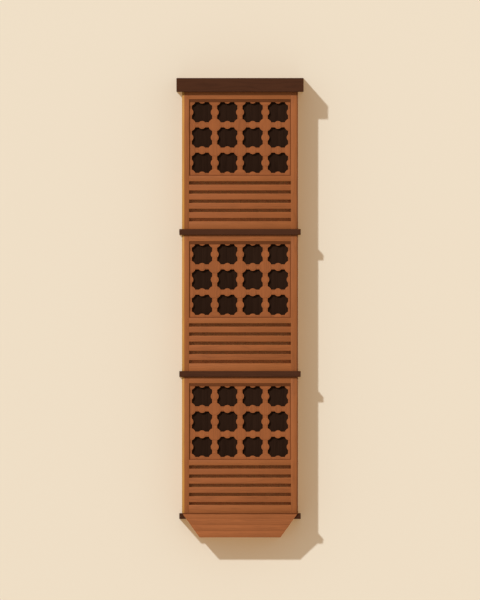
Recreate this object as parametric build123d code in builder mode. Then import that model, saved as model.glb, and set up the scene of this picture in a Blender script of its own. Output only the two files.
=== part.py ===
from build123d import *
import os
from math import atan, cos, radians, sin

# A three-storey timber mashrabiya bay that hangs on a wall, in millimetres.
# X runs across the front, the wall is the plane y = 0, the bay projects towards -Y, +Z is up.
# The origin is the centre of the back face of the base wall beam.

# Storeys and lattice cells
storeys = 3
cell_width = 588
front_columns = 4
side_columns = 1
rows = 3
panel_margin = 6

# Frame
post_width = 165
corner_post_depth = 150
wall_post_depth = 90
rail_depth = 150
head_rail_height = 150
top_head_rail_extra = 22
middle_rail_height = 127
bottom_rail_height = 177
lowest_bottom_rail_extra = 14
bead_size = 53

# Ledges and floors
ledge_height = 136
ledge_overhang = 64
ledge_nosing_radius = 12
floor_thickness = 40
joist_width = 60
joist_count = 5

# Lattice panels: bars on a grid, with a boss where they cross and a smaller one halfway between
lattice_thickness = 55
lattice_setback = 30
bar_width = 118
crossing_boss_radius = 151
middle_boss_radius = 93
boss_sides = 20

# Inner shutters and aprons
shutter_thickness = 30
shutter_setback = 105
shutter_gap = 4
apron_thickness = 30
apron_setback = 120

# Slats
slat_count = 4
slat_height = 136
slat_thickness = 28
slat_weathering = 4
slat_nose_chamfer = 5
slat_setback = 2
slot_height = 78

# Cornice and roof
cornice_height = 324
cornice_overhang = 130
fascia_thickness = 40
fascia_nosing_radius = 14
soffit_thickness = 30
roof_thickness = 30
roof_setdown = 40
roof_fall = 28
rib_thickness = 50
rib_count = 6

# Skirt and brackets
skirt_side_run = 407
skirt_height = 565
skirt_board = 30
skirt_front_rake = radians(15)
bracket_thickness = 90
bracket_nose = 110
bracket_foot = 230
bracket_side_gap = 32

# Plan
clear_width = front_columns * cell_width + 2 * panel_margin
clear_depth = side_columns * cell_width + 2 * panel_margin
bay_width = clear_width + 2 * post_width
bay_depth = wall_post_depth + clear_depth + corner_post_depth
half_width = bay_width / 2
half_clear = clear_width / 2
ledge_depth = bay_depth + ledge_overhang
half_ledge = half_width + ledge_overhang
side_middle_y = -wall_post_depth - clear_depth / 2

# Heights
panel_height = rows * cell_width + 2 * panel_margin
slat_pitch = slat_height + slot_height
slat_zone_height = slat_count * slat_pitch + slot_height
rails_height = head_rail_height + middle_rail_height + bottom_rail_height
storey_height = rails_height + panel_height + slat_zone_height
storey_pitch = storey_height + ledge_height
ledge_bottoms = [storey * storey_pitch - ledge_height / 2 for storey in range(storeys)]
floor_levels = [bottom + ledge_height for bottom in ledge_bottoms]
frame_tops = [level + storey_height for level in floor_levels]
frame_tops[-1] += top_head_rail_extra
cornice_bottom = frame_tops[-1]

os.makedirs("parts", exist_ok=True)


def lattice_outline(columns: int) -> Sketch:
    """One lattice panel seen from the front, with half bars and half bosses along its border."""
    span = columns * cell_width + 2 * panel_margin
    with BuildSketch() as outline:
        with GridLocations(cell_width, cell_width, columns + 1, 1):
            Rectangle(bar_width, panel_height)
        with GridLocations(cell_width, cell_width, 1, rows + 1):
            Rectangle(span, bar_width)
        with GridLocations(cell_width, cell_width, columns + 1, rows + 1):
            RegularPolygon(crossing_boss_radius, boss_sides)
        with GridLocations(cell_width, cell_width, columns + 1, rows):
            RegularPolygon(middle_boss_radius, boss_sides)
        with GridLocations(cell_width, cell_width, columns, rows + 1):
            RegularPolygon(middle_boss_radius, boss_sides)
        Rectangle(span, panel_height, mode=Mode.INTERSECT)
    return outline.sketch


front_outline = lattice_outline(front_columns)
side_outline = lattice_outline(side_columns)

# A slat seen from its end: local x runs inwards from the front face, local y up
with BuildSketch() as slat_profile:
    with BuildLine():
        Polyline(
            (0, 0),
            (slat_thickness, slat_weathering),
            (slat_thickness, slat_height),
            (0, slat_height - slat_weathering),
            close=True,
        )
    make_face()
    chamfer(slat_profile.vertices().group_by(Axis.X)[0], slat_nose_chamfer)


def write(piece: BuildPart, label: str) -> None:
    """Label one finished sub-part and write its STEP file."""
    piece.part.label = label
    export_step(piece.part, f"parts/{label}.step")


def side_plane(side: int, setback: float) -> Plane:
    """The upright plane behind one flank's outer face; its normal points outwards on the right."""
    return Plane.YZ.offset(side * (half_width - setback))


# Storeys
for storey in range(storeys):
    name = f"storey_{storey + 1}"
    floor_level = floor_levels[storey]
    bottom_rail = bottom_rail_height
    if storey == 0:
        bottom_rail += lowest_bottom_rail_extra
    slat_zone_bottom = floor_level + bottom_rail_height
    slat_zone_top = slat_zone_bottom + slat_zone_height
    panel_bottom = slat_zone_top + middle_rail_height
    panel_top = panel_bottom + panel_height
    panel_middle = (panel_bottom + panel_top) / 2
    apron_bottom = floor_level + bottom_rail
    apron_height = slat_zone_top - apron_bottom
    rail_spans = [
        (floor_level, apron_bottom),
        (slat_zone_top, panel_bottom),
        (panel_top, frame_tops[storey]),
    ]

    with BuildPart() as posts:
        with BuildSketch(Plane.XY.offset(floor_level)):
            for side in (-1, 1):
                with Locations((side * (half_clear + post_width / 2), -wall_post_depth / 2)):
                    Rectangle(post_width, wall_post_depth)
                with Locations((side * half_clear, -bay_depth)):
                    align_x = Align.MIN if side == 1 else Align.MAX
                    Rectangle(post_width, corner_post_depth, align=(align_x, Align.MIN))
                with Locations((side * (half_width - bead_size / 2), bead_size / 2 - bay_depth)):
                    Rectangle(bead_size, bead_size, mode=Mode.SUBTRACT)
        extrude(amount=frame_tops[storey] - floor_level)
    write(posts, f"posts_{name}")

    with BuildPart() as rails:
        with BuildSketch(Plane.XZ.offset(bay_depth)):
            for low, high in rail_spans:
                with Locations((0, low)):
                    Rectangle(clear_width, high - low, align=(Align.CENTER, Align.MIN))
        extrude(amount=-rail_depth)
        for side in (-1, 1):
            with BuildSketch(side_plane(side, 0)):
                for low, high in rail_spans:
                    with Locations((side_middle_y, low)):
                        Rectangle(clear_depth, high - low, align=(Align.CENTER, Align.MIN))
            extrude(amount=-side * rail_depth)
    write(rails, f"rails_{name}")

    with BuildPart() as front_lattice:
        with BuildSketch(Plane.XZ.offset(bay_depth - lattice_setback)):
            with Locations((0, panel_middle)):
                add(front_outline)
        extrude(amount=-lattice_thickness)
    write(front_lattice, f"front_lattice_{name}")

    for side, flank in ((-1, "left"), (1, "right")):
        with BuildPart() as side_lattice:
            with BuildSketch(side_plane(side, lattice_setback)):
                with Locations((side_middle_y, panel_middle)):
                    add(side_outline)
            extrude(amount=-side * lattice_thickness)
        write(side_lattice, f"{flank}_lattice_{name}")

    with BuildPart() as shutters:
        leaf_width = (clear_width - (front_columns - 1) * shutter_gap) / front_columns
        with BuildSketch(Plane.XZ.offset(bay_depth - shutter_setback)):
            with Locations((0, panel_middle)):
                with GridLocations(leaf_width + shutter_gap, panel_height, front_columns, 1):
                    Rectangle(leaf_width, panel_height)
        extrude(amount=-shutter_thickness)
        for side in (-1, 1):
            with BuildSketch(side_plane(side, shutter_setback)):
                with Locations((side_middle_y, panel_middle)):
                    Rectangle(clear_depth, panel_height)
            extrude(amount=-side * shutter_thickness)
    write(shutters, f"shutters_{name}")

    with BuildPart() as aprons:
        with BuildSketch(Plane.XZ.offset(bay_depth - apron_setback)):
            with Locations((0, apron_bottom)):
                Rectangle(clear_width, apron_height, align=(Align.CENTER, Align.MIN))
        extrude(amount=-apron_thickness)
        for side in (-1, 1):
            with BuildSketch(side_plane(side, apron_setback)):
                with Locations((side_middle_y, apron_bottom)):
                    Rectangle(clear_depth, apron_height, align=(Align.CENTER, Align.MIN))
            extrude(amount=-side * apron_thickness)
    write(aprons, f"aprons_{name}")

    with BuildPart() as louvres:
        slat_levels = [slat_zone_bottom + slot_height + i * slat_pitch for i in range(slat_count)]
        with BuildSketch(Plane.YZ.offset(-half_clear)):
            with Locations(*[(slat_setback - bay_depth, level) for level in slat_levels]):
                add(slat_profile.sketch)
        extrude(amount=clear_width)
        for side in (-1, 1):
            with BuildSketch(Plane.XZ.offset(wall_post_depth)):
                slats_here = slat_profile.sketch
                if side == 1:
                    slats_here = mirror(slat_profile.sketch, about=Plane.YZ, mode=Mode.PRIVATE)
                face_x = side * (half_width - slat_setback)
                with Locations(*[(face_x, level) for level in slat_levels]):
                    add(slats_here)
            extrude(amount=clear_depth)
    write(louvres, f"louvres_{name}")

    with BuildPart() as floor:
        with BuildSketch(Plane.XY.offset(floor_level - floor_thickness)):
            with Locations((0, side_middle_y)):
                Rectangle(clear_width, clear_depth)
        extrude(amount=floor_thickness)
    write(floor, f"floor_{name}")


# Skirt planes: the front boards lean back from the ledge's top front edge
skirt_top = floor_levels[0]
skirt_bottom = skirt_top - skirt_height
skirt_back = Plane(
    origin=(0, -ledge_depth, skirt_top),
    x_dir=(1, 0, 0),
    z_dir=(0, -cos(skirt_front_rake), -sin(skirt_front_rake)),
)
skirt_face = skirt_back.offset(skirt_board)
skirt_reach = ledge_depth + 2 * skirt_board
half_skirt_bottom = half_width - skirt_side_run
side_slope = skirt_side_run / skirt_height
side_board_run = skirt_board / cos(atan(side_slope))
soffit_top = skirt_bottom + skirt_board
soffit_half = half_skirt_bottom - side_board_run

# The brackets stand between the side boards, and each joist rests on one of them
outer_bracket = soffit_half - bracket_side_gap - bracket_thickness / 2
joist_spacing = 2 * outer_bracket / (joist_count - 1)


def skirt_half_width(level: float) -> float:
    """Half the width over the skirt's side boards at one height."""
    return half_skirt_bottom + side_slope * (level - skirt_bottom)


# Ledges: the lowest one is planed to the rake where the skirt's front boards lie on it
for storey in range(storeys):
    with BuildPart() as ledge:
        with BuildSketch(Plane.XY.offset(ledge_bottoms[storey])):
            Rectangle(2 * half_ledge, ledge_depth, align=(Align.CENTER, Align.MAX))
            Rectangle(
                clear_width,
                bay_depth - corner_post_depth,
                align=(Align.CENTER, Align.MAX),
                mode=Mode.SUBTRACT,
            )
        extrude(amount=ledge_height)
        front_edges = ledge.edges().filter_by(Axis.X).group_by(Axis.Y)[0]
        side_edges = ledge.edges().filter_by(Axis.Y).group_by(Axis.X)
        fillet(front_edges + side_edges[0] + side_edges[-1], ledge_nosing_radius)
        if storey == 0:
            split(bisect_by=skirt_back, keep=Keep.BOTTOM)
    write(ledge, f"ledge_storey_{storey + 1}")

# Wall beams close each ledge along the wall
with BuildPart() as base_wall_beam:
    with BuildSketch(Plane.XY.offset(ledge_bottoms[0])):
        Rectangle(clear_width, wall_post_depth, align=(Align.CENTER, Align.MAX))
    extrude(amount=ledge_height)
write(base_wall_beam, "base_wall_beam")

with BuildPart() as upper_wall_beams:
    with BuildSketch(*[Plane.XY.offset(bottom) for bottom in ledge_bottoms[1:]]):
        Rectangle(clear_width, wall_post_depth, align=(Align.CENTER, Align.MAX))
    extrude(amount=ledge_height)
write(upper_wall_beams, "upper_wall_beams")

with BuildPart() as floor_joists:
    with BuildSketch(*[Plane.XY.offset(bottom) for bottom in ledge_bottoms]):
        with Locations((0, side_middle_y)):
            with GridLocations(joist_spacing, clear_depth, joist_count, 1):
                Rectangle(joist_width, clear_depth)
    extrude(amount=ledge_height - floor_thickness)
write(floor_joists, "floor_joists")

# Corner beads: quarter rounds in the notches of the corner posts
for side, flank in ((-1, "left"), (1, "right")):
    with BuildPart() as corner_bead:
        for floor_level, frame_top in zip(floor_levels, frame_tops):
            with BuildSketch(Plane.XY.offset(floor_level)):
                with Locations((side * (half_width - bead_size), bead_size - bay_depth)):
                    Circle(bead_size)
                with Locations((side * (half_width - bead_size / 2), bead_size / 2 - bay_depth)):
                    Rectangle(bead_size, bead_size, mode=Mode.INTERSECT)
            extrude(amount=frame_top - floor_level)
    write(corner_bead, f"corner_bead_{flank}")

# Cornice: a boxed eaves of soffit, fascia and ribs, with a roof deck that falls to the front
half_cornice = half_width + cornice_overhang
cornice_depth = bay_depth + cornice_overhang
half_box = half_cornice - fascia_thickness
box_depth = cornice_depth - fascia_thickness
cornice_top = cornice_bottom + cornice_height
deck_front = cornice_top - roof_setdown - roof_thickness
deck_back = deck_front + roof_fall

with BuildPart() as cornice_soffit:
    with BuildSketch(Plane.XY.offset(cornice_bottom)):
        Rectangle(2 * half_box, box_depth, align=(Align.CENTER, Align.MAX))
    extrude(amount=soffit_thickness)
write(cornice_soffit, "cornice_soffit")

with BuildPart() as cornice_fascia:
    with BuildSketch(Plane.XY.offset(cornice_bottom)):
        Rectangle(2 * half_cornice, cornice_depth, align=(Align.CENTER, Align.MAX))
        Rectangle(2 * half_box, box_depth, align=(Align.CENTER, Align.MAX), mode=Mode.SUBTRACT)
    extrude(amount=cornice_height)
    front_edges = cornice_fascia.edges().filter_by(Axis.X).group_by(Axis.Y)[0]
    side_edges = cornice_fascia.edges().filter_by(Axis.Y).group_by(Axis.X)
    fillet(front_edges + side_edges[0] + side_edges[-1], fascia_nosing_radius)
write(cornice_fascia, "cornice_fascia")

with BuildPart() as cornice_ribs:
    outer_rib = half_box - rib_thickness / 2
    rib_spacing = 2 * outer_rib / (rib_count - 1)
    rib_places = [i * rib_spacing - outer_rib for i in range(rib_count)]
    with BuildSketch(*[Plane.YZ.offset(x - rib_thickness / 2) for x in rib_places]):
        with BuildLine():
            Polyline(
                (0, cornice_bottom + soffit_thickness),
                (0, deck_back),
                (-box_depth, deck_front),
                (-box_depth, cornice_bottom + soffit_thickness),
                close=True,
            )
        make_face()
    extrude(amount=rib_thickness)
write(cornice_ribs, "cornice_ribs")

with BuildPart() as roof_deck:
    with BuildSketch(Plane.YZ.offset(-half_box)):
        with BuildLine():
            Polyline(
                (0, deck_back),
                (0, deck_back + roof_thickness),
                (-box_depth, deck_front + roof_thickness),
                (-box_depth, deck_front),
                close=True,
            )
        make_face()
    extrude(amount=2 * half_box)
write(roof_deck, "roof_deck")

# Skirt: an inverted hopper of boards under the lowest ledge
with BuildPart() as skirt_front:
    with BuildSketch(Plane.XZ):
        with BuildLine():
            Polyline(
                (-half_width, skirt_top),
                (half_width, skirt_top),
                (half_skirt_bottom, skirt_bottom),
                (-half_skirt_bottom, skirt_bottom),
                close=True,
            )
        make_face()
    extrude(amount=skirt_reach)
    split(bisect_by=skirt_back, keep=Keep.TOP)
    split(bisect_by=skirt_face, keep=Keep.BOTTOM)
write(skirt_front, "skirt_front")

with BuildPart() as skirt_sides:
    outer_high = skirt_half_width(ledge_bottoms[0])
    with BuildSketch(Plane.XZ):
        for side in (-1, 1):
            with BuildLine():
                Polyline(
                    (side * outer_high, ledge_bottoms[0]),
                    (side * (outer_high - side_board_run), ledge_bottoms[0]),
                    (side * soffit_half, skirt_bottom),
                    (side * half_skirt_bottom, skirt_bottom),
                    close=True,
                )
            make_face()
    extrude(amount=skirt_reach)
    split(bisect_by=skirt_back, keep=Keep.BOTTOM)
write(skirt_sides, "skirt_sides")

with BuildPart() as skirt_soffit:
    high_half = skirt_half_width(soffit_top) - side_board_run
    with BuildSketch(Plane.XZ):
        with BuildLine():
            Polyline(
                (-high_half, soffit_top),
                (high_half, soffit_top),
                (soffit_half, skirt_bottom),
                (-soffit_half, skirt_bottom),
                close=True,
            )
        make_face()
    extrude(amount=skirt_reach)
    split(bisect_by=skirt_back, keep=Keep.BOTTOM)
write(skirt_soffit, "skirt_soffit")

# Brackets under the joists carry the base from the wall
with BuildPart() as brackets:
    bracket_places = [i * joist_spacing - outer_bracket for i in range(joist_count)]
    bracket_top = ledge_bottoms[0]
    with BuildSketch(*[Plane.YZ.offset(x - bracket_thickness / 2) for x in bracket_places]):
        with BuildLine():
            Polyline(
                (0, bracket_top),
                (0, soffit_top),
                (-bracket_foot, soffit_top),
                (-ledge_depth, bracket_top - bracket_nose),
                (-ledge_depth, bracket_top),
                close=True,
            )
        make_face()
    extrude(amount=bracket_thickness)
    split(bisect_by=skirt_back, keep=Keep.BOTTOM)
write(brackets, "brackets")
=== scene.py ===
import logging
import random
from collections.abc import Sequence
from dataclasses import dataclass, field
from enum import Enum, IntEnum
from math import cos, pi, radians, sin

import bmesh
import bpy
from bmesh.types import BMEdge, BMesh, BMFace, BMVert
from mathutils import Matrix, Vector


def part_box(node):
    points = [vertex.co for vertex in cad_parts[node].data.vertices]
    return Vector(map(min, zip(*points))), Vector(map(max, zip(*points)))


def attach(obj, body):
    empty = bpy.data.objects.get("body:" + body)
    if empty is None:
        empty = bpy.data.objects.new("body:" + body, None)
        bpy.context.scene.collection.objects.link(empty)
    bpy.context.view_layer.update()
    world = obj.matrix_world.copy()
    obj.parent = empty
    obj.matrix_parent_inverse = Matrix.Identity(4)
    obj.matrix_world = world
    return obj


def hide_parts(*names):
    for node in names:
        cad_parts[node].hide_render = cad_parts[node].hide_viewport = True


# Finishes and fine work for a three-storey timber mashrabiya bay, in metres.
# The frame gives every timber: X runs across the front, the bay projects towards -Y, +Z is up.

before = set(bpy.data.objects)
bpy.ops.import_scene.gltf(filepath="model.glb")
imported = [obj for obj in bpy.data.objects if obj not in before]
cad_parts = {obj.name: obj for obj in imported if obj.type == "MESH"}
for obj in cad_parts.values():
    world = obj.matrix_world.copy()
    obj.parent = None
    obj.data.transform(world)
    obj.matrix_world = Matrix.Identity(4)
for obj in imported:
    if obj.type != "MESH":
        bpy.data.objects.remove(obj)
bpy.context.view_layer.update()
log = logging.getLogger("mashrabiya_bay")

Triple = tuple[float, float, float]
ScreenColour = tuple[int, int, int]
LinearColour = tuple[float, float, float, float]
Socket = bpy.types.NodeSocket
Source = Socket | float | Sequence[float]

STOREYS = 3
WHITE = (1.0, 1.0, 1.0, 1.0)

# The lowest ledge is planed to a rake: mitres this far inside its corners leave no slivers
LOWEST_MITRE_INSET = 0.006

# The picture's height and scale, and its row at the height of the bay's origin
PICTURE_HEIGHT_PX = 600
METRES_PER_PX = 0.023235
ORIGIN_LEVEL_PX = 516.02


class Seed(IntEnum):
    """Where each sub-assembly's random draws start. A storey adds its own number."""

    STOREY_FRAME = 10
    LATTICE = 20
    BOARDS = 30
    LEDGE = 40
    CORNICE = 50
    CARCASS = 60
    SKIRT = 70


def linear(colour: ScreenColour, gain: float = 1.0) -> LinearColour:
    """Turn a screen colour into the linear one that a shader takes, by the sRGB curve.

    Args:
        colour: Red, green and blue from 0 to 255, as a screen shows them.
        gain: A factor on the light that the colour gives back.

    Returns:
        Linear red, green, blue and an alpha of 1.
    """
    parts = []
    for channel in colour:
        share = channel / 255
        light = share / 12.92 if share <= 0.04045 else ((share + 0.055) / 1.055) ** 2.4
        parts.append(min(light * gain, 1.0))
    return (*parts, 1.0)


class NodeSheet:
    """The node tree of a material or a world, with short calls that add nodes and join them."""

    def __init__(self, owner: bpy.types.Material | bpy.types.World) -> None:
        """Start with an empty tree.

        Args:
            owner: The material or the world whose tree it is.
        """
        owner.use_nodes = True
        self.tree = owner.node_tree
        self.tree.nodes.clear()

    def add(self, kind: str, *sources: Source, **settings: str | bool) -> bpy.types.Node:
        """Add a node.

        Args:
            kind: The node's type, without the word ShaderNode.
            sources: What its first sockets take, in order.
            settings: Its properties by name.

        Returns:
            The new node.
        """
        node = self.tree.nodes.new("ShaderNode" + kind)
        for key, value in settings.items():
            setattr(node, key, value)
        for socket, source in zip(node.inputs, sources):
            self.feed(socket, source)
        return node

    def feed(self, socket: Socket, source: Source) -> None:
        """Link a socket to another one, or set it to a plain value.

        Args:
            socket: The socket that is fed.
            source: The other socket, or the value.
        """
        if isinstance(source, Socket):
            self.tree.links.new(source, socket)
        else:
            socket.default_value = source

    def math(self, operation: str, first: Source, second: Source = 0.0) -> Socket:
        """Work out one step of arithmetic."""
        return self.add("Math", first, second, operation=operation).outputs[0]

    def line(self, source: Source, slope: float, start: Source, clamped: bool = False) -> Socket:
        """Multiply a value by a slope and add a start, held between 0 and 1 where it is clamped."""
        node = self.add("Math", source, slope, start, operation="MULTIPLY_ADD", use_clamp=clamped)
        return node.outputs[0]

    def stretched(self, source: Socket, scale: Triple) -> Socket:
        """Multiply a place by a scale along each axis."""
        return self.add("VectorMath", source, scale, operation="MULTIPLY").outputs[0]

    def blend(self, share: Socket, first: Source, second: Source) -> Socket:
        """Mix two colours.

        Args:
            share: How much of the second colour there is.
            first: The first colour.
            second: The second colour.

        Returns:
            The mixed colour.
        """
        node = self.add("Mix", data_type="RGBA")
        self.feed(node.inputs["Factor"], share)
        self.feed(node.inputs["A"], first)
        self.feed(node.inputs["B"], second)
        return node.outputs["Result"]

    def noise(self, source: Socket, waves: Triple, detail: float) -> Socket:
        """Sample smooth noise that is stretched along the grain.

        Args:
            source: The place along, across and into the timber, in metres.
            waves: Waves in a metre each way.
            detail: Octaves of finer noise.

        Returns:
            Noise around zero, about half a unit each way.
        """
        node = self.add("TexNoise", noise_dimensions="3D")
        self.feed(node.inputs["Vector"], self.stretched(source, waves))
        self.feed(node.inputs["Scale"], 1.0)
        self.feed(node.inputs["Detail"], detail)
        return self.math("SUBTRACT", node.outputs[0], 0.5)

    def seen(self) -> Socket:
        """Tell what is seen, straight or in a gloss, from the light that falls on things.

        Returns:
            1 on the first and 0 on the second.
        """
        rays = self.add("LightPath")
        mirrored = self.math("MAXIMUM", rays.outputs["Is Glossy Ray"], rays.outputs["Is Transmission Ray"])
        return self.math("MAXIMUM", rays.outputs["Is Camera Ray"], mirrored)


@dataclass(frozen=True)
class Figure:
    """What shows in a timber's wood, as sockets of its finish's tree, each around zero."""

    fibre: Socket
    mottle: Socket
    late_wood: Socket
    pore: Socket


@dataclass(frozen=True)
class TimberFinish:
    """A stain on timber whose grain follows each piece's own length.

    A depth is how far a pattern turns the shade, and waves are how often it repeats in a metre
    along, across and into the timber. A gain is a factor on the stain's own colour.
    """

    name: str
    slot: str
    colour: ScreenColour
    ring_gap: float = 0.014
    ring_sway: float = 0.09
    ring_power: float = 3.0
    ring_depth: float = 0.16
    fibre_depth: float = 0.34
    mottle_depth: float = 0.30
    tone_depth: float = 0.05
    pore_depth: float = 0.16
    pore_limit: float = 0.17
    sway_waves: Triple = (0.9, 4.0, 4.0)
    fibre_waves: Triple = (5.0, 170.0, 170.0)
    mottle_waves: Triple = (1.6, 7.0, 7.0)
    pore_waves: Triple = (22.0, 800.0, 800.0)
    contrast: float = 1.25
    dark_gain: float = 0.6
    light_gain: float = 1.4
    rubbed_gain: float = 1.9
    wear: float = 0.30
    wear_patches: float = 1.5
    roughness: float = 0.62
    roughness_swing: float = 0.25
    specular: float = 0.16
    relief: float = 0.0005
    relief_strength: float = 0.6
    ring_relief: float = 0.4
    pore_relief: float = 3.0

    def material(self) -> bpy.types.Material:
        """Build the finish once and give the same material from then on.

        Returns:
            The material.
        """
        known = bpy.data.materials.get(self.name)
        if known is not None:
            return known
        material = bpy.data.materials.new(self.name)
        sheet = NodeSheet(material)
        figure = self.figure(sheet)
        shader = sheet.add("BsdfPrincipled")
        sheet.feed(shader.inputs["Base Color"], self.stained(sheet, figure))
        sheet.feed(shader.inputs["Roughness"], self.uneven_roughness(sheet, figure))
        sheet.feed(shader.inputs["Specular IOR Level"], self.specular)
        sheet.feed(shader.inputs["Normal"], self.raised_grain(sheet, figure))
        sheet.add("OutputMaterial", shader.outputs[0])
        return material

    def figure(self, sheet: NodeSheet) -> Figure:
        """Draw the wood's patterns.

        Args:
            sheet: The finish's node tree.

        Returns:
            Its figure.
        """
        place = sheet.add("Attribute", attribute_name="grain_at").outputs["Vector"]
        speck = sheet.noise(place, self.pore_waves, detail=1.0)
        pored = sheet.math("GREATER_THAN", speck, self.pore_limit)
        return Figure(
            fibre=sheet.noise(place, self.fibre_waves, detail=3.0),
            mottle=sheet.noise(place, self.mottle_waves, detail=3.0),
            late_wood=self.late_wood(sheet, place),
            pore=sheet.math("MULTIPLY", pored, -self.pore_depth),
        )

    def late_wood(self, sheet: NodeSheet, place: Socket) -> Socket:
        """Find the late wood, which darkens the outside of each growth ring.

        Args:
            sheet: The finish's node tree.
            place: The place along, across and into the timber, from the log's pith.

        Returns:
            The share of late wood, around zero on the whole.
        """
        sway = sheet.noise(place, self.sway_waves, detail=2.0)
        flat = sheet.stretched(place, (0.0, 1.0, 1.0))
        pith = sheet.add("VectorMath", flat, operation="LENGTH").outputs["Value"]
        bent = sheet.math("ADD", pith, sheet.math("MULTIPLY", sway, self.ring_sway))
        rings = sheet.math("DIVIDE", bent, self.ring_gap)
        edge = sheet.math("POWER", sheet.math("PINGPONG", rings, 1.0), self.ring_power)
        return sheet.math("SUBTRACT", edge, 1 / (self.ring_power + 1))

    def stained(self, sheet: NodeSheet, figure: Figure) -> Socket:
        """Mix the stain's dark and light shades, and its rubbed shade along the arrises.

        Args:
            sheet: The finish's node tree.
            figure: The wood's figure.

        Returns:
            The colour, halfway between dark and light where the wood is plain.
        """
        tone = sheet.add("Attribute", attribute_name="tone").outputs["Fac"]
        worn = sheet.add("Attribute", attribute_name="worn").outputs["Fac"]
        light = sheet.math("MULTIPLY", tone, self.tone_depth)
        light = sheet.line(figure.late_wood, -self.ring_depth, light)
        light = sheet.line(figure.fibre, self.fibre_depth, light)
        light = sheet.line(figure.mottle, self.mottle_depth, light)
        light = sheet.math("ADD", light, figure.pore)
        share = sheet.line(light, self.contrast, 0.5, clamped=True)
        dark, pale, rubbed = (
            linear(self.colour, gain) for gain in (self.dark_gain, self.light_gain, self.rubbed_gain)
        )
        patchy = sheet.line(figure.mottle, self.wear_patches, 1.0)
        wear = sheet.math("MULTIPLY", sheet.math("MULTIPLY", worn, self.wear), patchy)
        return sheet.blend(wear, sheet.blend(share, dark, pale), rubbed)

    def uneven_roughness(self, sheet: NodeSheet, figure: Figure) -> Socket:
        """Vary the roughness a little with the fibre, and more in the pores."""
        base = sheet.line(figure.fibre, self.roughness_swing, self.roughness)
        return sheet.math("SUBTRACT", base, figure.pore)

    def raised_grain(self, sheet: NodeSheet, figure: Figure) -> Socket:
        """Raise the late wood and fibre, and sink the pores.

        Args:
            sheet: The finish's node tree.
            figure: The wood's figure.

        Returns:
            The direction that the surface faces.
        """
        height = sheet.line(figure.late_wood, self.ring_relief, figure.fibre)
        bump = sheet.add("Bump")
        sheet.feed(bump.inputs["Strength"], self.relief_strength)
        sheet.feed(bump.inputs["Distance"], self.relief)
        sheet.feed(bump.inputs["Height"], sheet.line(figure.pore, self.pore_relief, height))
        return bump.outputs["Normal"]


class Stain(Enum):
    """The finishes of the bay, each with the record's slot that it stands for."""

    FRAME = TimberFinish("frame_oil", "frame_wood", (156, 90, 46))
    LATTICE = TimberFinish("lattice_oil", "lattice_wood", (155, 88, 45))
    SLAT = TimberFinish("slat_oil", "slat_wood", (152, 86, 44))
    # Lighter than the frame's stain: painted light that makes up for the shade on the skirt's raked boards
    SKIRT = TimberFinish("skirt_oil_painted_light", "skirt_wood", (170, 100, 56))
    # A painted highlight: the left corner bead is golden where the light from the left catches its arris
    GOLD = TimberFinish("gold_bead_varnish", "golden_bead_wood", (197, 138, 60), specular=0.3)
    LEDGE = TimberFinish("dark_ledge_stain", "dark_ledge_wood", (74, 42, 25), specular=0.06)
    # A dark stain whose strips paint the head rail's shadow over the lattice's top edge
    HEAD = TimberFinish("head_painted_shadow_stain", "dark_ledge_wood", (105, 58, 29), specular=0.06)
    BEAD = TimberFinish("panel_bead_stain", "dark_ledge_wood", (112, 60, 30), specular=0.06)
    # Near black: the shade inside the bay, seen through the lattice, painted into the shutters' outer stain
    SHUTTER = TimberFinish("shutter_stain", "dark_shutter_wood", (45, 29, 20), specular=0.0)
    APRON = TimberFinish("apron_oil", "apron_wood", (190, 122, 70), ring_depth=0.08, fibre_depth=0.14)
    FLOOR = TimberFinish("floor_scrubbed", "floor_wood", (150, 108, 72))
    INNER = TimberFinish("sawn_carcass", "inner_wood", (140, 98, 62), roughness=0.75)
    ROOF = TimberFinish("weathered_deck", "roof_wood", (112, 84, 62), roughness=0.8)


@dataclass(frozen=True)
class Panel:
    """A lattice panel as the frame has it, drawn flat: X across, Y up and Z outwards."""

    node: str
    place: Matrix
    spans: Vector


class Flank(Enum):
    """The sides of the bay that carry a lattice, each with its directions across, up and outwards."""

    FRONT = ((1, 0, 0), (0, 0, 1), (0, -1, 0))
    LEFT = ((0, -1, 0), (0, 0, 1), (-1, 0, 0))
    RIGHT = ((0, 1, 0), (0, 0, 1), (1, 0, 0))

    def turn(self, middle: Vector) -> Matrix:
        """The transform that carries what is drawn flat, facing outwards, to its place."""
        axes = Matrix([Vector(axis) for axis in self.value])
        return Matrix.Translation(middle) @ axes.transposed().to_4x4()

    def panel(self, storey: int) -> Panel:
        """Measure this side's lattice panel on one storey.

        Args:
            storey: The storey, from 1 up.

        Returns:
            The panel.
        """
        node = f"{self.name.lower()}_lattice_storey_{storey}"
        low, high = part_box(node)
        size = high - low
        spans = Vector([abs(size.dot(Vector(axis))) for axis in self.value])
        return Panel(node, self.turn((low + high) / 2), spans)


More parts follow.
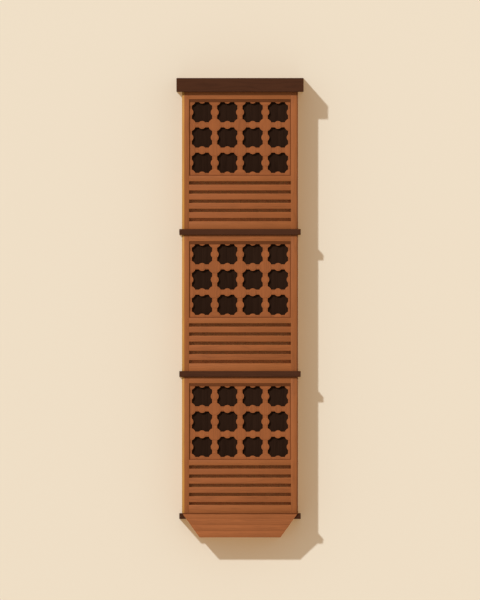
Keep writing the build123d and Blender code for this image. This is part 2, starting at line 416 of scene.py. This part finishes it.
@dataclass(kw_only=True)
class Timberwork:
    """What the sub-assemblies share: timbers copied from the frame, sawn, eased and given grain."""

    seed: int
    arris: float = 0.003
    arris_segments: int = 2
    sharp_angle: float = radians(32)
    flat_angle: float = radians(0.5)
    weld: float = 0.00001
    log_length: float = 40.0
    log_half_width: float = 0.12
    pith_distances: tuple[float, float] = (0.02, 0.25)
    chance: random.Random = field(init=False, repr=False)

    def __post_init__(self) -> None:
        """Seed the piece's own random draws."""
        self.chance = random.Random(self.seed)

    def copied(self, node: str) -> BMesh:
        """Copy a node's mesh and merge its loose triangles into whole faces.

        Args:
            node: The node's name.

        Returns:
            A mesh to work on.
        """
        timber = bmesh.new()
        timber.from_mesh(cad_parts[node].data)
        bmesh.ops.remove_doubles(timber, verts=timber.verts[:], dist=self.weld)
        bmesh.ops.dissolve_limit(
            timber, angle_limit=self.flat_angle, verts=timber.verts[:], edges=timber.edges[:]
        )
        return timber

    def block(self, work: BMesh, low: Vector, high: Vector) -> list[BMVert]:
        """Add a rectangular block between two corners, and give its vertices."""
        spot = Matrix.Translation((low + high) / 2) @ Matrix.Diagonal((*(high - low), 1))
        return bmesh.ops.create_cube(work, size=1, matrix=spot)["verts"]

    def bisect(self, timber: BMesh, normal: Vector, point: Vector, drop_outer: bool) -> list[BMEdge]:
        """Draw a cut round a timber.

        Args:
            timber: The mesh to cut.
            normal: The direction square to the cut.
            point: A place on the cut.
            drop_outer: True to take away what lies beyond the cut.

        Returns:
            The edges of the cut.
        """
        cut = bmesh.ops.bisect_plane(
            timber,
            geom=timber.verts[:] + timber.edges[:] + timber.faces[:],
            dist=self.weld,
            plane_co=point,
            plane_no=normal,
            clear_outer=drop_outer,
        )
        return [item for item in cut["geom_cut"] if isinstance(item, BMEdge)]

    def close_rims(self, timber: BMesh) -> None:
        """Close every open cut of a timber."""
        rims = [edge for edge in timber.edges if edge.is_boundary]
        bmesh.ops.holes_fill(timber, edges=rims, sides=0)

    def saw(self, timber: BMesh, normal: Vector, point: Vector) -> None:
        """Saw through a timber and close both sides of the cut.

        Args:
            timber: The mesh to cut.
            normal: The direction square to the cut.
            point: A place on the cut.
        """
        seam = self.bisect(timber, normal, point, drop_outer=False)
        bmesh.ops.split_edges(timber, edges=seam)
        self.close_rims(timber)

    def trim(self, timber: BMesh, normal: Vector, point: Vector) -> None:
        """Cut off what lies beyond a plane and close the cut."""
        self.bisect(timber, normal, point, drop_outer=True)
        self.close_rims(timber)

    def saw_into_boards(self, timber: BMesh, axis: int, start: float, end: float, count: int) -> None:
        """Saw a sheet into boards of one width.

        Args:
            timber: The mesh to cut.
            axis: 0, 1 or 2, the axis across the boards.
            start: Where the first board begins on that axis.
            end: Where the last board ends.
            count: The number of boards.
        """
        width = (end - start) / count
        normal = Vector((0, 0, 0))
        normal[axis] = 1
        for board in range(1, count):
            self.saw(timber, normal, normal * (start + board * width))

    def rounded(self, work: BMesh, edges: list[BMEdge], reach: float, segments: int) -> list[BMFace]:
        """Round edges off.

        Args:
            work: The mesh that they are in.
            edges: The edges.
            reach: How far the round reaches from an edge.
            segments: How many faces it has across.

        Returns:
            The faces of the rounds.
        """
        made = bmesh.ops.bevel(
            work,
            geom=edges,
            offset=reach,
            offset_type="OFFSET",
            segments=segments,
            profile=0.5,
            affect="EDGES",
            clamp_overlap=True,
            material=-1,
        )
        return made["faces"]

    def ease(self, timber: BMesh) -> None:
        """Round the arrises, and mark their faces as rubbed.

        Args:
            timber: The mesh to ease.
        """
        worn = timber.faces.layers.float.get("worn") or timber.faces.layers.float.new("worn")
        arrises = [
            edge
            for edge in timber.edges
            if len(edge.link_faces) == 2 and edge.calc_face_angle(0) > self.sharp_angle
        ]
        for face in self.rounded(timber, arrises, self.arris, self.arris_segments):
            face[worn] = 1.0
        bmesh.ops.dissolve_degenerate(timber, dist=self.weld, edges=timber.edges[:])

    def joined_to(self, first: BMVert) -> list[BMVert]:
        """Follow a timber's edges from one of its vertices.

        Args:
            first: The vertex.

        Returns:
            All the timber's vertices, the first one first.
        """
        timber = [first]
        reached = {first}
        for vertex in timber:
            for edge in vertex.link_edges:
                other = edge.other_vert(vertex)
                if other not in reached:
                    reached.add(other)
                    timber.append(other)
        return timber

    def timbers(self, work: BMesh) -> list[list[BMVert]]:
        """Tell the separate timbers in a mesh apart.

        Args:
            work: The mesh.

        Returns:
            The vertices of each timber.
        """
        found = []
        reached = set()
        for vertex in work.verts:
            if vertex not in reached:
                found.append(self.joined_to(vertex))
                reached.update(found[-1])
        return found

    def lay_grain(self, work: BMesh) -> None:
        """Run the grain along each timber, cut from its own place in its own log.

        Args:
            work: The mesh of the timbers.
        """
        grain = work.verts.layers.float_vector.new("grain_at")
        tone = work.verts.layers.float.new("tone")
        draw = self.chance.uniform
        for timber in self.timbers(work):
            spans = [
                max(vertex.co[axis] for vertex in timber) - min(vertex.co[axis] for vertex in timber)
                for axis in range(3)
            ]
            # Of two equal spans the upright one counts as the longer
            spans[2] += self.weld
            along, across, into = sorted(range(3), key=lambda axis: -spans[axis])
            middle = sum((vertex.co for vertex in timber), Vector()) / len(timber)
            length_place = draw(0, self.log_length)
            width_place = draw(-self.log_half_width, self.log_half_width)
            log_place = Vector((length_place, width_place, draw(*self.pith_distances)))
            shade = draw(-1, 1)
            for vertex in timber:
                local = vertex.co - middle
                vertex[grain] = Vector((local[along], local[across], local[into])) + log_place
                vertex[tone] = shade

    def deliver(self, work: BMesh, name: str, stain: Stain, *nodes: str) -> bpy.types.Object:
        """Turn finished work into a piece of the bay.

        Args:
            work: The mesh, in its place. It is freed.
            name: The piece's name.
            stain: Its finish.
            nodes: The nodes that it stands for.

        Returns:
            The new object.
        """
        self.lay_grain(work)
        mesh = bpy.data.meshes.new(name)
        work.to_mesh(mesh)
        work.free()
        mesh.shade_smooth()
        mesh.set_sharp_from_angle(angle=self.sharp_angle)
        mesh.materials.append(stain.value.material())
        piece = bpy.data.objects.new(name, mesh)
        bpy.context.scene.collection.objects.link(piece)
        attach(piece, "root")
        if nodes:
            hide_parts(*nodes)
        log.info("%s: %d faces", name, len(mesh.polygons))
        return piece

    def dressed(self, node: str, stain: Stain) -> None:
        """Ease a node's timbers and finish them, with nothing sawn.

        Args:
            node: The node's name.
            stain: Their finish.
        """
        timber = self.copied(node)
        self.ease(timber)
        self.deliver(timber, f"{node}_timber", stain, node)

    def boarded(self, node: str, stain: Stain, axis: int, count: int, level_with: str = "") -> None:
        """Saw a node's sheet into boards of one width, ease them and finish them.

        Args:
            node: The node's name.
            stain: Their finish.
            axis: 0, 1 or 2, the axis across the boards.
            count: The number of boards.
            level_with: The node whose boards they run level with, where it isn't their own.
        """
        sheet = self.copied(node)
        low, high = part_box(level_with or node)
        self.saw_into_boards(sheet, axis, low[axis], high[axis], count)
        self.ease(sheet)
        self.deliver(sheet, f"{node}_boards", stain, node)


@dataclass(kw_only=True)
class StoreyWork(Timberwork):
    """Timberwork that each storey has of its own."""

    storey: int

    def named(self, stem: str) -> str:
        """The name of this storey's node or piece of one kind."""
        return f"{stem}_storey_{self.storey}"

    def clear_width(self) -> tuple[float, float]:
        """Where the space between the corner posts starts and ends across the front."""
        low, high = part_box(self.named("front_lattice"))
        return low.x, high.x

    def clear_depth(self) -> tuple[float, float]:
        """Where the space between corner post and wall post starts and ends."""
        low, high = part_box(self.named("floor"))
        return low.y, high.y


@dataclass(kw_only=True)
class StoreyFrame(StoreyWork):
    """Posts, rails, slats and the pegs that draw the rails into the posts, for one storey."""

    peg_radius: float = 0.011
    peg_top_radius: float = 0.0088
    peg_proud: float = 0.003
    peg_inset: float = 0.045
    peg_edge: float = 0.034
    peg_sides: int = 10

    def build(self) -> None:
        """Make the storey's timbers and pegs."""
        self.dressed(self.named("posts"), Stain.FRAME)
        self.dressed(self.named("rails"), Stain.FRAME)
        self.dressed(self.named("louvres"), Stain.SLAT)
        self.add_pegs()

    def rail_spans(self) -> list[tuple[float, float]]:
        """Find the rails from the panels that lie between them.

        Returns:
            The lowest and highest level of each rail.
        """
        rails_low, rails_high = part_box(self.named("rails"))
        panel_low, panel_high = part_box(self.named("front_lattice"))
        apron_low, apron_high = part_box(self.named("aprons"))
        return [
            (rails_low.z, apron_low.z),
            (apron_high.z, panel_low.z),
            (panel_high.z, rails_high.z),
        ]

    def add_pegs(self) -> None:
        """Set two tapered pegs in each post at every rail."""
        pegs = bmesh.new()
        for low, high in self.rail_spans():
            spots = self.peg_spots(low + self.peg_edge) + self.peg_spots(high - self.peg_edge)
            for spot, flank in spots:
                bmesh.ops.create_cone(
                    pegs,
                    cap_ends=True,
                    segments=self.peg_sides,
                    radius1=self.peg_radius,
                    radius2=self.peg_top_radius,
                    depth=2 * self.peg_proud,
                    matrix=flank.turn(spot),
                )
        self.deliver(pegs, self.named("pegs"), Stain.FRAME)

    def peg_spots(self, level: float) -> list[tuple[Vector, Flank]]:
        """Mark out the pegs of one level.

        Args:
            level: Their height.

        Returns:
            Each peg's place on a post's face, and the side that the face is on.
        """
        low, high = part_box(self.named("posts"))
        left, right = self.clear_width()
        front, back = self.clear_depth()
        spots = [
            (Vector((left - self.peg_inset, low.y, level)), Flank.FRONT),
            (Vector((right + self.peg_inset, low.y, level)), Flank.FRONT),
        ]
        for flank, face in ((Flank.LEFT, low.x), (Flank.RIGHT, high.x)):
            spots.append((Vector((face, front - self.peg_inset, level)), flank))
            spots.append((Vector((face, back + self.peg_inset, level)), flank))
        return spots


@dataclass(kw_only=True)
class LatticeBay(StoreyWork):
    """The lattices of one storey: moulded bars, turned bosses and the trims at their borders, with a dark
    strip of painted shadow under each head rail.
    """

    cell_width: float = 0.588
    bar_width: float = 0.118
    bar_thickness: float = 0.037
    crossing_radius: float = 0.151
    crossing_sides: int = 20
    middle_radius: float = 0.093
    middle_sides: int = 16
    edge_round: float = 0.009
    edge_steps: int = 3
    quirk_inset: float = 0.021
    quirk_width: float = 0.005
    quirk_depth: float = 0.004
    flange_width: float = 0.022
    flange_step: float = 0.005
    head_shadow_strip_height: float = 0.062
    head_shadow_strip_thickness: float = 0.012
    bead_width: float = 0.020
    bead_thickness: float = 0.014
    bead_round: float = 0.0112
    bead_segments: int = 4

    def build(self) -> None:
        """Make the three lattices, their dark head strips of painted shadow and their beads."""
        strips = bmesh.new()
        beads = bmesh.new()
        for flank in Flank:
            panel = flank.panel(self.storey)
            self.add_lattice(panel)
            self.add_head_shadow_strip(strips, panel)
            self.add_beads(beads, panel)
        self.ease(strips)
        self.deliver(strips, self.named("head_strips"), Stain.HEAD)
        self.deliver(beads, self.named("panel_beads"), Stain.BEAD)

    def add_lattice(self, panel: Panel) -> None:
        """Join bars and bosses on the grid, trim them to the panel and set them in place.

        Args:
            panel: The panel that they stand for.
        """
        columns = int(panel.spans.x // self.cell_width)
        rows = int(panel.spans.y // self.cell_width)
        reach = Vector((columns, rows, 0)) * (self.cell_width / 2)
        lattice = bmesh.new()
        for column in range(columns + 1):
            self.add_bar(lattice, column * self.cell_width - reach.x, panel.spans.y, upright=True)
        for row in range(rows + 1):
            self.add_bar(lattice, row * self.cell_width - reach.y, panel.spans.x, upright=False)
        self.add_bosses(lattice, columns, rows, panel.spans.z)
        for normal in ((1, 0, 0), (-1, 0, 0), (0, 1, 0), (0, -1, 0)):
            edge = Vector(normal)
            self.trim(lattice, edge, edge * abs(edge.dot(panel.spans)) / 2)
        bmesh.ops.recalc_face_normals(lattice, faces=lattice.faces[:])
        bmesh.ops.transform(lattice, matrix=panel.place, verts=lattice.verts[:])
        self.deliver(lattice, f"{panel.node}_turned", Stain.LATTICE, panel.node)

    def bar_section(self) -> list[tuple[float, float]]:
        """Draw a bar's outline: rounded edges with a quirk beside each.

        Returns:
            Its points, across and outwards.
        """
        half = self.bar_width / 2
        face = self.bar_thickness / 2
        right = []
        for step in range(self.edge_steps + 1):
            turn = step * pi / 2 / self.edge_steps
            x = half - self.edge_round * (1 - cos(turn))
            right.append((x, face - self.edge_round * (1 - sin(turn))))
        quirk = half - self.quirk_inset
        right.append((quirk + self.quirk_width / 2, face))
        right.append((quirk, face - self.quirk_depth))
        right.append((quirk - self.quirk_width / 2, face))
        left = [(-x, y) for x, y in reversed(right)]
        return [(half, -face), *right, *left, (-half, -face)]

    def add_bar(self, lattice: BMesh, place: float, length: float, upright: bool) -> None:
        """Add a moulded bar through the whole panel.

        Args:
            lattice: The mesh to add to, drawn flat and facing outwards.
            place: The bar's place across the panel, or up it.
            length: The panel's size along the bar.
            upright: True for a bar that runs up.
        """
        start = -length / 2
        if upright:
            ring = [lattice.verts.new((place + x, start, y)) for x, y in self.bar_section()]
            run = Vector((0, length, 0))
        else:
            ring = [lattice.verts.new((start, place + x, y)) for x, y in self.bar_section()]
            run = Vector((length, 0, 0))
        end = lattice.faces.new(ring)
        grown = bmesh.ops.extrude_face_region(lattice, geom=[end], use_keep_orig=True)
        moved = [item for item in grown["geom"] if isinstance(item, BMVert)]
        bmesh.ops.translate(lattice, verts=moved, vec=run)

    def add_bosses(self, lattice: BMesh, columns: int, rows: int, thickness: float) -> None:
        """Set a large boss on each crossing of the grid, and a small one halfway to the next.

        Args:
            lattice: The mesh to add to, drawn flat and facing outwards.
            columns: Openings across the panel.
            rows: Openings up it.
            thickness: The panel's thickness.
        """
        crossing = self.boss(self.crossing_radius, self.crossing_sides, thickness)
        between = self.boss(self.middle_radius, self.middle_sides, thickness)
        reach = Vector((columns, rows, 0)) * (self.cell_width / 2)
        for column in range(2 * columns + 1):
            for row in range(2 * rows + 1):
                if column % 2 and row % 2:
                    continue
                turned = between if column % 2 or row % 2 else crossing
                spot = Vector((column, row, 0)) * (self.cell_width / 2) - reach
                self.set_boss(lattice, turned, spot)
        bpy.data.meshes.remove(crossing)
        bpy.data.meshes.remove(between)

    def boss(self, radius: float, sides: int, thickness: float) -> bpy.types.Mesh:
        """Turn one boss: a plain drum with a flange round its raised face.

        Args:
            radius: Its outer radius.
            sides: The number of sides of the turning.
            thickness: The panel's thickness, which the raised face reaches.

        Returns:
            A mesh centred on the origin, facing outwards.
        """
        turned = bmesh.new()
        bmesh.ops.create_cone(
            turned,
            cap_ends=True,
            segments=sides,
            radius1=radius,
            radius2=radius,
            depth=thickness - self.flange_step,
            matrix=Matrix.Translation((0, 0, -self.flange_step / 2)),
        )
        face = [max(turned.faces, key=lambda side: side.calc_center_median().z)]
        bmesh.ops.inset_region(turned, faces=face, thickness=self.flange_width)
        bmesh.ops.inset_region(turned, faces=face, thickness=self.flange_step, depth=self.flange_step)
        mesh = bpy.data.meshes.new("boss")
        turned.to_mesh(mesh)
        turned.free()
        return mesh

    def set_boss(self, lattice: BMesh, turned: bpy.types.Mesh, spot: Vector) -> None:
        """Add a copy of a turned boss.

        Args:
            lattice: The mesh to add to.
            turned: The boss.
            spot: Its place on the grid.
        """
        before = len(lattice.verts)
        lattice.from_mesh(turned)
        lattice.verts.ensure_lookup_table()
        bmesh.ops.translate(lattice, verts=lattice.verts[before:], vec=spot)

    def add_head_shadow_strip(self, strips: BMesh, panel: Panel) -> None:
        """Nail a dark strip over a lattice's top edge, under the head rail, as a painted shadow of the
        rail.

        Args:
            strips: The mesh to add to.
            panel: The lattice's panel.
        """
        side, top, face = panel.spans / 2
        low = Vector((-side, top - self.head_shadow_strip_height, face))
        high = Vector((side, top, face + self.head_shadow_strip_thickness))
        made = self.block(strips, low, high)
        bmesh.ops.transform(strips, matrix=panel.place, verts=made)

    def add_beads(self, beads: BMesh, panel: Panel) -> None:
        """Run a bead down both sides of a panel and along its foot.

        Args:
            beads: The mesh to add to.
            panel: The panel.
        """
        side, rise, face = panel.spans / 2
        inner = side - self.bead_width
        top = rise - self.head_shadow_strip_height
        proud = face + self.bead_thickness
        runs = [
            ((-side, -rise, face), (-inner, top, proud), (1, 0, 0)),
            ((inner, -rise, face), (side, top, proud), (-1, 0, 0)),
            ((-inner, -rise, face), (inner, self.bead_width - rise, proud), (0, 1, 0)),
        ]
        for low, high, inwards in runs:
            corner = self.add_bead(beads, Vector(low), Vector(high), Vector(inwards))
            bmesh.ops.transform(beads, matrix=panel.place, verts=self.joined_to(corner))

    def add_bead(self, beads: BMesh, low: Vector, high: Vector, inwards: Vector) -> BMVert:
        """Add one bead, rounded along its inner arris.

        Args:
            beads: The mesh to add to.
            low: Its lowest corner, on the panel drawn flat.
            high: Its highest corner.
            inwards: The direction towards the panel's middle.

        Returns:
            One of its vertices.
        """
        made = self.block(beads, low, high)
        towards = inwards + Vector((0, 0, 1))
        arrises = {edge for vertex in made for edge in vertex.link_edges}
        inner = max(arrises, key=lambda edge: sum(end.co.dot(towards) for end in edge.verts))
        self.rounded(beads, [inner], self.bead_round, self.bead_segments)
        return next(vertex for vertex in made if vertex.is_valid)


@dataclass(kw_only=True)
class InnerBoards(StoreyWork):
    """The boarded shutters, aprons and floor of one storey, with the shutters' battens and knobs."""

    shutter_thickness: float = 0.03
    boards_in_leaf: int = 4
    front_leaves: int = 4
    front_apron_boards: int = 16
    side_apron_boards: int = 4
    floor_boards: int = 5
    batten_height: float = 0.085
    batten_thickness: float = 0.014
    batten_inset: float = 0.035
    batten_levels: tuple[float, ...] = (0.14, 0.5, 0.86)
    knob_level: float = 0.45
    knob_inset: float = 0.056
    knob_radius: float = 0.017
    knob_length: float = 0.03
    knob_profile: tuple[tuple[float, float], ...] = (
        (0, 0), (0.6, 0), (0.45, 0.35), (1, 0.6), (0.85, 0.85), (0, 1)
    )
    knob_steps: int = 12

    def build(self) -> None:
        """Make the storey's boards and the fittings on them."""
        self.board_shutters()
        self.board_aprons()
        self.boarded(self.named("floor"), Stain.FLOOR, axis=1, count=self.floor_boards)
        self.add_battens()
        self.add_knobs()

    def sawn_sheets(self, node: str, front_count: int, side_count: int) -> BMesh:
        """Saw sheets that stand on three sides of the bay into boards, and ease them.

        Args:
            node: The node's name.
            front_count: Boards in the front sheet.
            side_count: Boards in each side sheet.

        Returns:
            The boards.
        """
        sheets = self.copied(node)
        self.saw_into_boards(sheets, 0, *self.clear_width(), front_count)
        self.saw_into_boards(sheets, 1, *self.clear_depth(), side_count)
        self.ease(sheets)
        return sheets

    def board_shutters(self) -> None:
        """Saw each leaf into boards, stained near black outside as painted shade of the bay's inside, and
        left bare on the room's side.
        """
        node = self.named("shutters")
        leaves = self.sawn_sheets(node, self.boards_in_leaf * self.front_leaves, self.boards_in_leaf)
        low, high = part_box(node)
        half = self.shutter_thickness / 2
        for face in leaves.faces:
            spot = face.calc_center_median()
            inside = low.x + half < spot.x < high.x - half and spot.y > low.y + half
            face.material_index = int(inside)
        piece = self.deliver(leaves, f"{node}_boards", Stain.SHUTTER, node)
        piece.data.materials.append(Stain.INNER.value.material())

    def board_aprons(self) -> None:
        """Saw the aprons behind the slats into boards."""
        node = self.named("aprons")
        boards = self.sawn_sheets(node, self.front_apron_boards, self.side_apron_boards)
        self.deliver(boards, f"{node}_boards", Stain.APRON, node)

    def leaf_edges(self) -> list[float]:
        """Where the front leaves start, meet and end across the bay."""
        left, right = self.clear_width()
        return [left + index * (right - left) / self.front_leaves for index in range(self.front_leaves + 1)]

    def add_battens(self) -> None:
        """Nail battens across the inner faces of the leaves."""
        low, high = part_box(self.named("shutters"))
        front, back = self.clear_depth()
        leaf_edges = self.leaf_edges()
        face = low.y + self.shutter_thickness
        battens = bmesh.new()
        for share in self.batten_levels:
            bottom = low.z + share * (high.z - low.z) - self.batten_height / 2
            top = bottom + self.batten_height
            for left, right in zip(leaf_edges, leaf_edges[1:]):
                start = Vector((left + self.batten_inset, face, bottom))
                end = Vector((right - self.batten_inset, face + self.batten_thickness, top))
                self.block(battens, start, end)
            for side, outer in ((-1, low.x), (1, high.x)):
                outer_x = outer - side * self.shutter_thickness
                inner_x = outer_x - side * self.batten_thickness
                start = Vector((min(outer_x, inner_x), front + self.batten_inset, bottom))
                end = Vector((max(outer_x, inner_x), back - self.batten_inset, top))
                self.block(battens, start, end)
        self.ease(battens)
        self.deliver(battens, self.named("shutter_battens"), Stain.INNER)

    def add_knobs(self) -> None:
        """Set a knob on each front leaf, beside the edge where it meets its neighbour."""
        low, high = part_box(self.named("shutters"))
        level = low.z + self.knob_level * (high.z - low.z)
        knobs = bmesh.new()
        for meeting in self.leaf_edges()[1::2]:
            for x in (meeting - self.knob_inset, meeting + self.knob_inset):
                self.add_knob(knobs, Vector((x, low.y + self.shutter_thickness, level)))
        self.deliver(knobs, self.named("shutter_knobs"), Stain.INNER)

    def add_knob(self, knobs: BMesh, spot: Vector) -> None:
        """Turn a small knob that stands into the room.

        Args:
            knobs: The mesh to add to.
            spot: Its place on a leaf's inner face.
        """
        points = [
            knobs.verts.new(spot + Vector((self.knob_radius * across, self.knob_length * out, 0)))
            for across, out in self.knob_profile
        ]
        edges = [knobs.edges.new(pair) for pair in zip(points, points[1:])]
        bmesh.ops.spin(
            knobs,
            geom=points + edges,
            cent=spot,
            axis=(0, 1, 0),
            angle=2 * pi,
            steps=self.knob_steps,
            use_merge=True,
        )
        bmesh.ops.remove_doubles(knobs, verts=knobs.verts[:], dist=self.weld)
        bmesh.ops.recalc_face_normals(knobs, faces=knobs.faces[:])


@dataclass(kw_only=True)
class MouldedRing(Timberwork):
    """A band that runs round three sides, from three lengths mitred at the front corners."""

    node: str
    corner_inset: float = 0.0

    def build(self) -> None:
        """Mitre and finish the band."""
        band = self.copied(self.node)
        low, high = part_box(self.node)
        for side in (-1, 1):
            corner = Vector((side * (high.x - self.corner_inset), low.y, low.z))
            self.saw(band, Vector((side, 1, 0)).normalized(), corner)
        self.ease(band)
        self.deliver(band, f"{self.node}_mitred", Stain.LEDGE, self.node)


@dataclass(kw_only=True)
class Cornice(Timberwork):
    """The boxed cornice: soffit boards, mitred fascia, ribs and the deck over them."""

    soffit_boards: int = 6
    deck_boards: int = 7

    def build(self) -> None:
        """Make the cornice."""
        MouldedRing(seed=self.seed + 1, node="cornice_fascia").build()
        self.boarded("cornice_soffit", Stain.LEDGE, axis=1, count=self.soffit_boards)
        self.boarded("roof_deck", Stain.ROOF, axis=1, count=self.deck_boards)
        self.dressed("cornice_ribs", Stain.INNER)


@dataclass(kw_only=True)
class Carcass(Timberwork):
    """What carries the bay: wall beams, floor joists, brackets and the two corner beads, the left one with
    a painted highlight.
    """

    def build(self) -> None:
        """Finish the carrying timbers and the corner beads."""
        for node in ("base_wall_beam", "upper_wall_beams", "floor_joists", "brackets"):
            self.dressed(node, Stain.INNER)
        # The left bead's gold colour is a painted highlight of the light from the left; the right bead
        # keeps the frame's stain
        self.dressed("corner_bead_left", Stain.GOLD)
        self.dressed("corner_bead_right", Stain.FRAME)


@dataclass(kw_only=True)
class Skirt(Timberwork):
    """The tapered skirt of level boards under the lowest ledge."""

    boards: int = 4
    soffit_boards: int = 5
    strip_height: float = 0.022
    strip_proud: float = 0.008

    def build(self) -> None:
        """Make the skirt and the dark strip along its top."""
        # The skirt's lighter stain is painted light that evens out the shade on its raked boards
        for node in ("skirt_front", "skirt_sides"):
            self.boarded(node, Stain.SKIRT, axis=2, count=self.boards, level_with="skirt_front")
        self.boarded("skirt_soffit", Stain.SKIRT, axis=1, count=self.soffit_boards)
        self.add_top_strip()

    def add_top_strip(self) -> None:
        """Nail a dark strip over the top edge of the front boards, cut to their ends."""
        strip = self.copied("skirt_front")
        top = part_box("skirt_front")[1].z
        self.trim(strip, Vector((0, 0, -1)), Vector((0, 0, top - self.strip_height)))
        bmesh.ops.translate(strip, verts=strip.verts[:], vec=(0, -self.strip_proud, 0))
        self.ease(strip)
        self.deliver(strip, "skirt_top_strip", Stain.BEAD)


@dataclass(kw_only=True)
class Studio:
    """The plain studio: a pale floor and backdrop, a key light, soft light all round and the camera."""

    backdrop_colour: ScreenColour = (238, 224, 200)
    paper_colour: Triple = (0.631, 0.647, 0.581)
    paper_glow: Triple = (0.251, 0.113, 0.016)
    floor_colour: Triple = (0.50, 0.47, 0.42)
    floor_glow: Triple = (0.44, 0.41, 0.36)
    backdrop_gap: float = 0.004
    backdrop_half_width: float = 12.0
    backdrop_top: float = 17.0
    floor_level: float = -2.3
    floor_reach: float = 70.0
    key_direction: Triple = (0.586, 1.0, -0.661)
    key_distance: float = 10.0
    key_strength: float = 2.3
    key_angle: float = radians(2)
    fill_strength: float = 0.45
    camera_distance: float = 30.0
    camera_reach: float = 120.0

    def build(self) -> None:
        """Set up the stage, the lights and the camera."""
        self.add_backdrop()
        self.add_floor()
        self.add_key()
        self.add_fill()
        self.add_camera()

    def sheet(self, name: str, corners: Sequence[Triple], material: bpy.types.Material) -> bpy.types.Object:
        """Lay a flat stage sheet.

        Args:
            name: The sheet's name.
            corners: Its four corners, in turn, anticlockwise as seen from its face.
            material: Its paper.

        Returns:
            The new object.
        """
        work = bmesh.new()
        work.faces.new([work.verts.new(corner) for corner in corners])
        mesh = bpy.data.meshes.new(name)
        work.to_mesh(mesh)
        work.free()
        mesh.materials.append(material)
        stage = bpy.data.objects.new(name, mesh)
        bpy.context.scene.collection.objects.link(stage)
        return stage

    def paper(self, name: str, colour: Triple, glow: Triple) -> bpy.types.Material:
        """Make a stage paper that shows from its face alone.

        Args:
            name: The material's name.
            colour: How much of each light it gives back, in linear red, green and blue.
            glow: A faint light of its own, which keeps its shadows pale and lights nothing.

        Returns:
            The material.
        """
        material = bpy.data.materials.new(name)
        nodes = NodeSheet(material)
        matt = nodes.add("BsdfDiffuse", (*colour, 1.0))
        light = nodes.add("Emission", (*glow, 1.0), nodes.seen())
        face = nodes.add("AddShader", matt.outputs[0], light.outputs[0])
        back = nodes.add("BsdfTransparent")
        is_back = nodes.add("NewGeometry").outputs["Backfacing"]
        shown = nodes.add("MixShader", is_back, face.outputs[0], back.outputs[0])
        nodes.add("OutputMaterial", shown.outputs[0])
        return material

    def add_backdrop(self) -> None:
        """Hang a plain sheet behind the bay, which gives its own colour to nothing else."""
        half, y = self.backdrop_half_width, self.backdrop_gap
        low, high = self.floor_level, self.backdrop_top
        corners = ((-half, y, low), (half, y, low), (half, y, high), (-half, y, high))
        material = self.paper("backdrop_paper", self.paper_colour, self.paper_glow)
        backdrop = self.sheet("backdrop", corners, material)
        backdrop.visible_diffuse = False
        backdrop.visible_glossy = False
        backdrop.visible_transmission = False
        backdrop.visible_shadow = False

    def add_floor(self) -> None:
        """Lay the pale floor below the picture."""
        reach, z = self.floor_reach, self.floor_level
        corners = ((-reach, -reach, z), (reach, -reach, z), (reach, reach, z), (-reach, reach, z))
        material = self.paper("floor_paper", self.floor_colour, self.floor_glow)
        self.sheet("studio_floor", corners, material)

    def add_key(self) -> None:
        """Aim a soft key light down from the upper left."""
        light = bpy.data.lights.new("key_light", "SUN")
        light.energy = self.key_strength
        light.angle = self.key_angle
        key = bpy.data.objects.new("key_light", light)
        key.rotation_euler = Vector(self.key_direction).to_track_quat("-Z", "Y").to_euler()
        key.location = -self.key_distance * Vector(self.key_direction)
        bpy.context.scene.collection.objects.link(key)

    def add_fill(self) -> None:
        """Light the bay evenly from all round, behind a pale background."""
        world = bpy.data.worlds.new("studio_air")
        bpy.context.scene.world = world
        air = NodeSheet(world)
        soft = air.add("Background", WHITE, self.fill_strength)
        pale = air.add("Background", linear(self.backdrop_colour))
        mix = air.add("MixShader", air.seen(), soft.outputs[0], pale.outputs[0])
        air.add("OutputWorld", mix.outputs[0])

    def add_camera(self) -> None:
        """Set the camera straight in front, at the picture's scale."""
        lens = bpy.data.cameras.new("camera")
        lens.type = "ORTHO"
        lens.ortho_scale = PICTURE_HEIGHT_PX * METRES_PER_PX
        lens.clip_end = self.camera_reach
        camera = bpy.data.objects.new("camera", lens)
        level = (ORIGIN_LEVEL_PX - PICTURE_HEIGHT_PX / 2) * METRES_PER_PX
        camera.location = (0, -self.camera_distance, level)
        camera.rotation_euler = (radians(90), 0, 0)
        bpy.context.scene.collection.objects.link(camera)
        bpy.context.scene.camera = camera


def main() -> None:
    """Build the bay's pieces in order, then the studio."""
    logging.basicConfig(level=logging.INFO, format="%(name)s %(message)s")
    bpy.context.scene.view_settings.view_transform = "Standard"
    for storey in range(1, STOREYS + 1):
        StoreyFrame(seed=Seed.STOREY_FRAME + storey, storey=storey).build()
        LatticeBay(seed=Seed.LATTICE + storey, storey=storey).build()
        InnerBoards(seed=Seed.BOARDS + storey, storey=storey).build()
        inset = LOWEST_MITRE_INSET if storey == 1 else 0.0
        MouldedRing(seed=Seed.LEDGE + storey, node=f"ledge_storey_{storey}", corner_inset=inset).build()
    Cornice(seed=Seed.CORNICE).build()
    Carcass(seed=Seed.CARCASS).build()
    Skirt(seed=Seed.SKIRT).build()
    Studio().build()
    bpy.context.view_layer.update()


if __name__ == "__main__":
    main()
